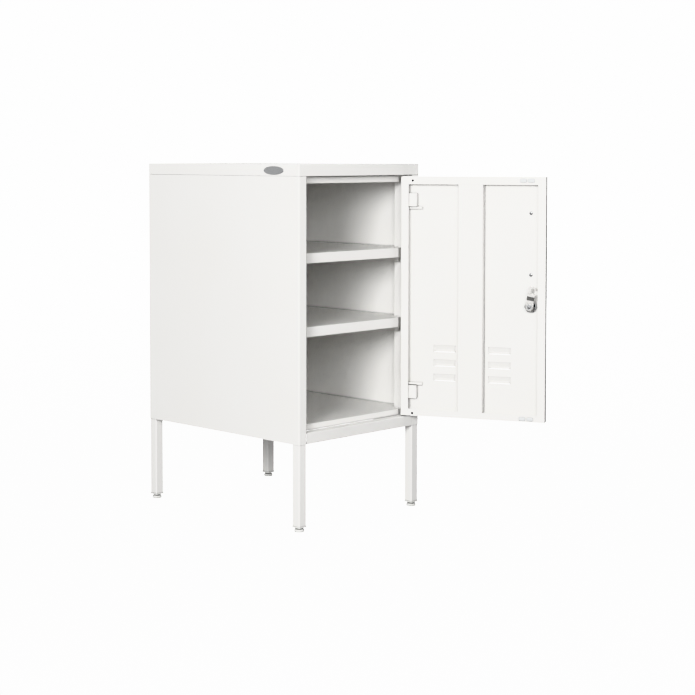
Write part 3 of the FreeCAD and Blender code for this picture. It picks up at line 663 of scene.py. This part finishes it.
def painted_hole_shadow_cups():
    """Painted shadow: near-black blind cups behind the two holes in the door's flanges, standing in for the shade
    inside them.
    """
    place = door_place()
    low, high = local_box("door_skin", place)
    rear = high.y - 0.25
    deep = rear - SHADOW_CUP_DEPTH
    wall = 0.4
    profile = ((SHADOW_CUP_RADIUS + wall, rear - 0.9), (SHADOW_CUP_RADIUS + wall, deep - wall),
               (SHADOW_CUP_RADIUS, deep), (SHADOW_CUP_RADIUS, rear))
    mesh = bmesh.new()
    for z in (low.z + SHADOW_CUP_ABOVE, high.z - SHADOW_CUP_BELOW):
        centre = Vector((high.x - SHADOW_CUP_INSET, 0, z))
        add_rings(mesh, [[around_y(radius, a, y) + centre for a in turns(40)] for radius, y in profile],
                  closed=True)
        add_rings(mesh, [[around_y(SHADOW_CUP_RADIUS, a, y) + centre for a in turns(40)]
                         for y in (deep - 0.25, deep + 0.05)])
    finish_piece("flange_hole_painted_shadow_cups", mesh, place, "zinc_plated_steel", "door",
                 material=MATERIALS["dark"])


def foot(corner):
    """A levelling foot: a scalloped nylon glide on a threaded stud."""
    node = corner + "_foot"
    low, high = (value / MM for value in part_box(node))
    place = Matrix.Translation(Vector(((low.x + high.x) / 2, (low.y + high.y) / 2, 0)) * MM)
    radius, scallops, scallop_depth = (high.x - low.x) / 2, 20, 0.45
    rings = []
    for inset, z, grip in ((4.0, 0.25, 0), (1.6, 0.0, 0), (0.5, 0.3, 0), (0.05, 1.1, 0.2), (0.0, 1.9, 1),
                           (0.0, 4.3, 1), (0.3, 5.2, 0.6), (1.0, 6.1, 0.1), (1.9, GLIDE_TOP, 0),
                           (6.0, GLIDE_TOP, 0)):
        ring = []
        for angle in turns(160):
            cut = scallop_depth * grip * (1 - math.cos(scallops * angle)) / 2
            ring.append(around_z(radius - inset - cut, angle, z))
        rings.append(ring)
    mesh = bmesh.new()
    add_rings(mesh, rings)
    add_rings(mesh, thread_rings(4.0, GLIDE_TOP - 0.5, high.z, 1.25, 0.55, around_z, count=48))
    finish_piece(corner + "_glide_foot", mesh, place, "white_nylon", corner + "_glide", [node], 35.0)


def add_details():
    lock_nut()
    lock_barrel()
    lock_cam()
    cam_screw()
    handle_screws()
    pin_spring("upper")
    pin_spring("lower")
    buffers()
    painted_hole_shadow_cups()
    for corner in ("front_left", "front_right", "back_left", "back_right"):
        foot(corner)


# ---- floor, light and camera ----
def glow(shader, strength):
    """Lets a staged surface shine by itself, so that it reads as a bright studio sweep."""
    shader.inputs["Emission Color"].default_value = (1.0, 1.0, 1.0, 1.0)
    shader.inputs["Emission Strength"].default_value = strength


def make_floor():
    """A pale floor that brightens into the white backdrop far from the object."""
    bpy.ops.mesh.primitive_circle_add(vertices=128, radius=STUDIO_RADIUS, fill_type="NGON")
    floor = bpy.context.object
    floor.name = "floor"
    material, shader = new_material("floor", (0.55, 0.55, 0.55), 0.9)
    glow(shader, FLOOR_GLOW)
    place = add(material, "ShaderNodeTexCoord")
    distance = add(material, "ShaderNodeVectorMath", operation="LENGTH")
    link(material, place.outputs["Object"], distance.inputs[0])
    bright = spread(material, distance.outputs["Value"], FLOOR_GLOW, SWEEP_GLOW, SWEEP_START, SWEEP_END)
    link(material, bright, shader.inputs["Emission Strength"])
    floor.data.materials.append(material)
    floor.visible_diffuse = False
    floor.visible_glossy = False


def make_backdrop():
    """A white dome behind the floor's edge, which only the camera sees."""
    bpy.ops.mesh.primitive_uv_sphere_add(segments=96, ring_count=48, radius=STUDIO_RADIUS * 0.98)
    dome = bpy.context.object
    dome.name = "backdrop"
    material, shader = new_material("backdrop", (0.0, 0.0, 0.0), 1.0)
    glow(shader, SWEEP_GLOW)
    dome.data.materials.append(material)
    dome.visible_diffuse = False
    dome.visible_glossy = False
    dome.visible_transmission = False
    dome.visible_shadow = False


def make_surround():
    """What glossy surfaces mirror: bright behind and on the left, dark in front, on the right and below."""
    bpy.ops.mesh.primitive_uv_sphere_add(segments=64, ring_count=32, radius=SURROUND_RADIUS)
    dome = bpy.context.object
    dome.name = "surround"
    material, shader = new_material("surround", (0.0, 0.0, 0.0), 1.0)
    glow(shader, 1.0)
    place = add(material, "ShaderNodeTexCoord")
    around = add(material, "ShaderNodeVectorMath", operation="DOT_PRODUCT")
    around.inputs[1].default_value = Vector(SURROUND_WAY) / SURROUND_RADIUS
    height = add(material, "ShaderNodeVectorMath", operation="DOT_PRODUCT")
    height.inputs[1].default_value = (0.0, 0.0, 1.0 / SURROUND_RADIUS)
    for node in (around, height):
        link(material, place.outputs["Object"], node.inputs[0])
    side = spread(material, around.outputs["Value"], SURROUND_DARK, SURROUND_BRIGHT, *SURROUND_SIDE)
    up = spread(material, height.outputs["Value"], SURROUND_BELOW, 1.0, *SURROUND_LEVEL)
    both = add(material, "ShaderNodeMath", operation="MULTIPLY")
    link(material, side, both.inputs[0])
    link(material, up, both.inputs[1])
    link(material, both.outputs["Value"], shader.inputs["Emission Strength"])
    dome.data.materials.append(material)
    dome.visible_camera = False
    dome.visible_diffuse = False
    dome.visible_transmission = False
    dome.visible_shadow = False


def soft_box(name, turn, height, across, away, strength):
    """A round lamp aimed at the cabinet, which lights it as a sun of that strength would."""
    data = bpy.data.lights.new(name, "AREA")
    data.shape = "DISK"
    data.size = 2 * away * math.tan(math.radians(across / 2))
    data.energy = strength * math.pi * away ** 2
    lamp = bpy.data.objects.new(name, data)
    turn, height = math.radians(turn), math.radians(height)
    way = Vector((-math.cos(height) * math.sin(turn), -math.cos(height) * math.cos(turn), math.sin(height)))
    lamp.location = Vector((0.0, 0.0, LAMP_AIM)) + way * away
    lamp.rotation_euler = way.to_track_quat("Z", "Y").to_euler()
    lamp.visible_camera = False
    bpy.context.collection.objects.link(lamp)


def make_light():
    world = bpy.data.worlds.new("studio")
    world.use_nodes = True
    sky = world.node_tree.nodes["Background"]
    sky.inputs["Color"].default_value = (1.0, 1.0, 1.0, 1.0)
    sky.inputs["Strength"].default_value = WORLD_LIGHT
    bpy.context.scene.world = world
    bpy.context.scene.view_settings.view_transform = "Khronos PBR Neutral"
    for name, (turn, height, across, away, strength) in SOFT_BOXES.items():
        soft_box(name, turn, height, across, away, strength)


def make_camera():
    data = bpy.data.cameras.new("camera")
    data.sensor_width = 36.0
    data.lens = CAMERA_LENS
    data.shift_x, data.shift_y = CAMERA_SHIFT
    data.clip_end = 100.0
    camera = bpy.data.objects.new("camera", data)
    camera.location = CAMERA_PLACE
    camera.rotation_euler = (math.radians(90 - CAMERA_TILT), 0, math.radians(-CAMERA_TURN))
    bpy.context.collection.objects.link(camera)
    bpy.context.scene.camera = camera


finish_cad_nodes()
add_details()
make_floor()
make_backdrop()
make_surround()
make_light()
make_camera()
